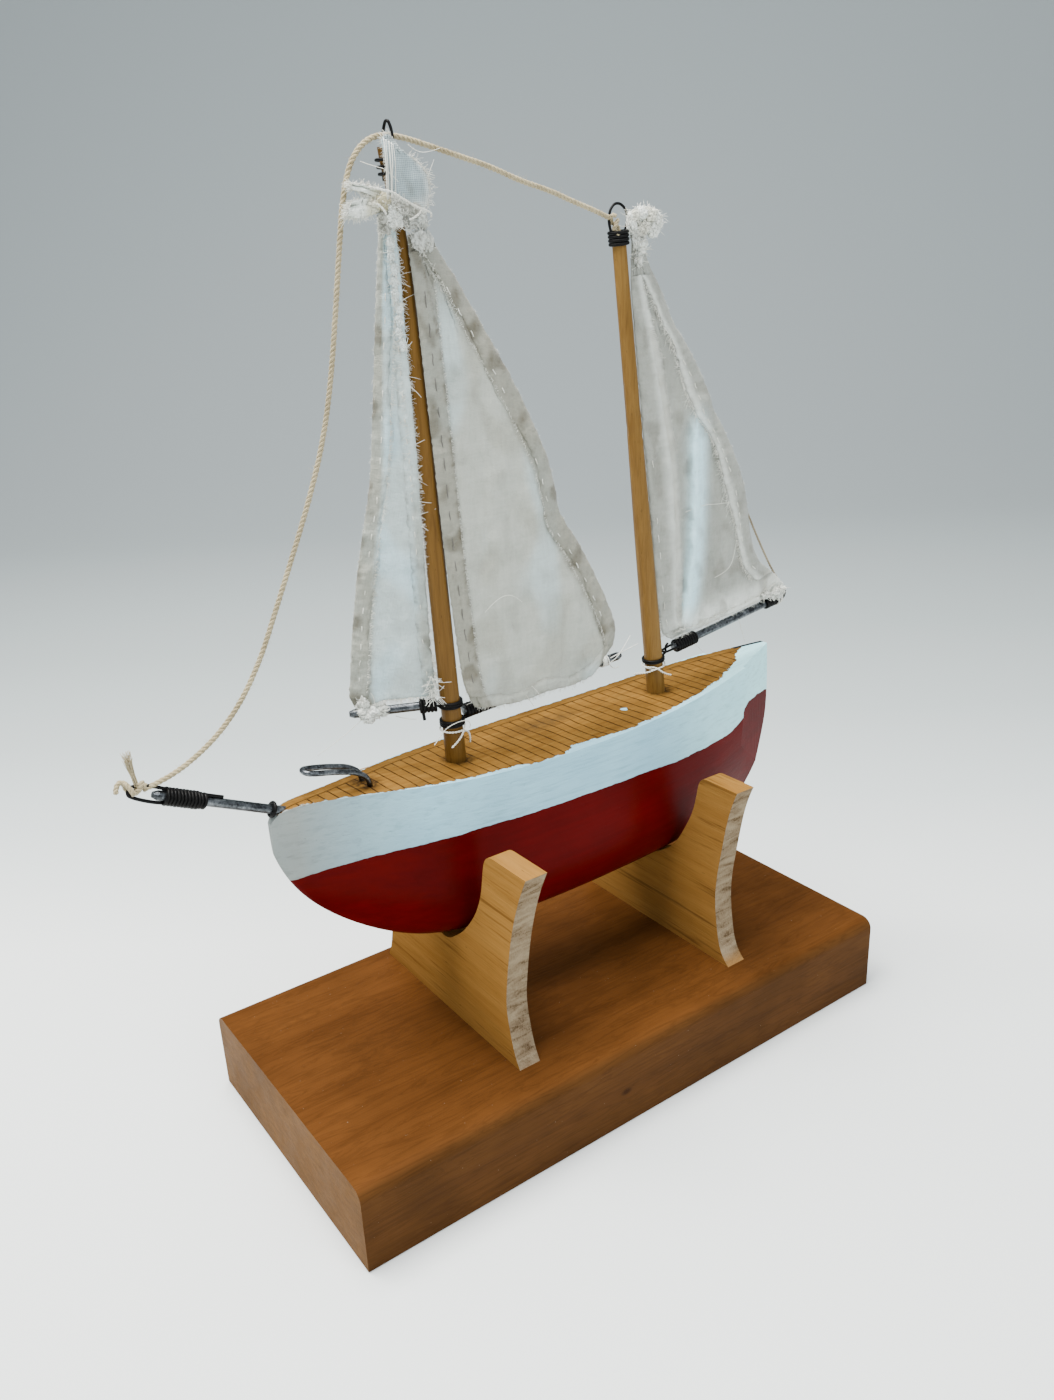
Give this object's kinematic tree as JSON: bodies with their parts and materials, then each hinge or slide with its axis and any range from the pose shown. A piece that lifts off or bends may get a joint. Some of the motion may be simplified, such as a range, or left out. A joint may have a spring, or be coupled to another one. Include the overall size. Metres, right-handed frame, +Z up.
{
  "type": "toy sailing boat on stand",
  "caption": "Hand-made two-masted toy sailing boat with painted wooden hull, cotton sails on swinging wire booms and a twine stay, resting in two wooden cradles on a board.",
  "frame": {"origin": "centre of the base board's underside", "axes": "+X towards the bow, +Y to port, +Z up"},
  "size_m": [0.2789, 0.1167, 0.3335],
  "materials": {
    "stained_wood": "satin stain",
    "pale_wood": "bare sawn",
    "hull_paint": "brushed paint, bare varnished deck",
    "mast_wood": "varnished",
    "nail_steel": "dark bright",
    "black_wire": "matt black",
    "sailcloth": "unbleached cotton",
    "twine": "laid cotton",
    "thread": "cotton"
  },
  "bodies": {
    "stand": {"base_board": "stained_wood", "cradle_fore": "pale_wood", "cradle_aft": "pale_wood"},
    "boat": {"hull": "hull_paint", "main_mast": "mast_wood", "mizzen_mast": "mast_wood", "bowsprit_nail": "nail_steel", "foredeck_cleat": "nail_steel", "stem_ring": "black_wire", "bowsprit_wire": "black_wire", "main_masthead_wire": "black_wire", "mizzen_masthead_wire": "black_wire", "stay_twine": "twine"},
    "jib_boom": {"jib_boom_nail": "nail_steel", "jib_boom_wire": "black_wire", "jib_sail": "sailcloth"},
    "main_boom": {"main_boom_nail": "nail_steel", "main_boom_wire": "black_wire", "main_sail": "sailcloth", "main_lashing": "thread"},
    "mizzen_boom": {"mizzen_boom_nail": "nail_steel", "mizzen_boom_wire": "black_wire", "mizzen_ring": "black_wire", "mizzen_end_wire": "black_wire", "mizzen_sail": "sailcloth", "boom_lift_line": "thread", "mizzen_lashing": "thread"}
  },
  "joints": [
    {"name": "boat_lift", "type": "slide", "parent": "stand", "child": "boat", "axis": [0, 0, 1], "range_m": [0, 0.08]},
    {"name": "jib_boom_swing", "type": "hinge", "parent": "boat", "child": "jib_boom", "pos_m": [0.03863, -0.0045, 0.15], "axis": [0.034, 0, 0.9994], "range_deg": [-32, 38]},
    {"name": "main_boom_swing", "type": "hinge", "parent": "boat", "child": "main_boom", "pos_m": [0.03863, -0.0045, 0.15], "axis": [0.034, 0, 0.9994], "range_deg": [-38, 60]},
    {"name": "mizzen_boom_swing", "type": "hinge", "parent": "boat", "child": "mizzen_boom", "pos_m": [-0.05402, -0.0045, 0.149], "axis": [0.0978, 0, 0.9952], "range_deg": [-50, 60]}
  ]
}
